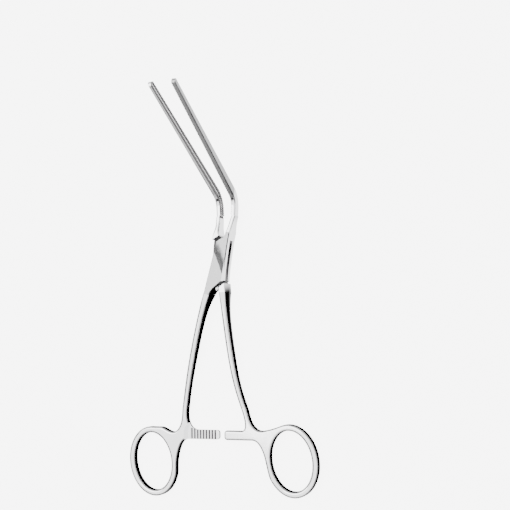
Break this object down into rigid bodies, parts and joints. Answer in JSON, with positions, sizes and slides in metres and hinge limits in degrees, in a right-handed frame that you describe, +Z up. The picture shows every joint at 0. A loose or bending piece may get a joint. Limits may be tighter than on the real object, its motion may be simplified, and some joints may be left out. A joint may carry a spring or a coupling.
{
  "type": "vascular clamp",
  "caption": "Long angled vascular clamp with slim toothed jaws bent up from the handles, a box lock, ratchet bars and oval finger rings.",
  "frame": {"origin": "on the pivot axis, at the flat underside of the box lock", "axes": "+Z up along the pivot axis, the way the jaws rise; +Y along the clamp from the finger rings towards the jaws; +X across, the way the jaws part"},
  "size_m": [0.11, 0.2061, 0.0785],
  "materials": {
    "steel_box_arm": "polished stainless steel with a satin box lock",
    "steel_tongue_arm": "polished stainless steel",
    "steel_pin": "satin stainless steel, ground flush"
  },
  "bodies": {
    "box_half": {"box_arm": "steel_box_arm", "pivot_pin": "steel_pin"},
    "tongue_half": {"tongue_arm": "steel_tongue_arm"}
  },
  "joints": [
    {"name": "box_lock", "type": "hinge", "parent": "box_half", "child": "tongue_half", "pos_m": [0, 0, 0.0045], "axis": [0, 0, 1], "range_deg": [-7.5, 25]}
  ]
}
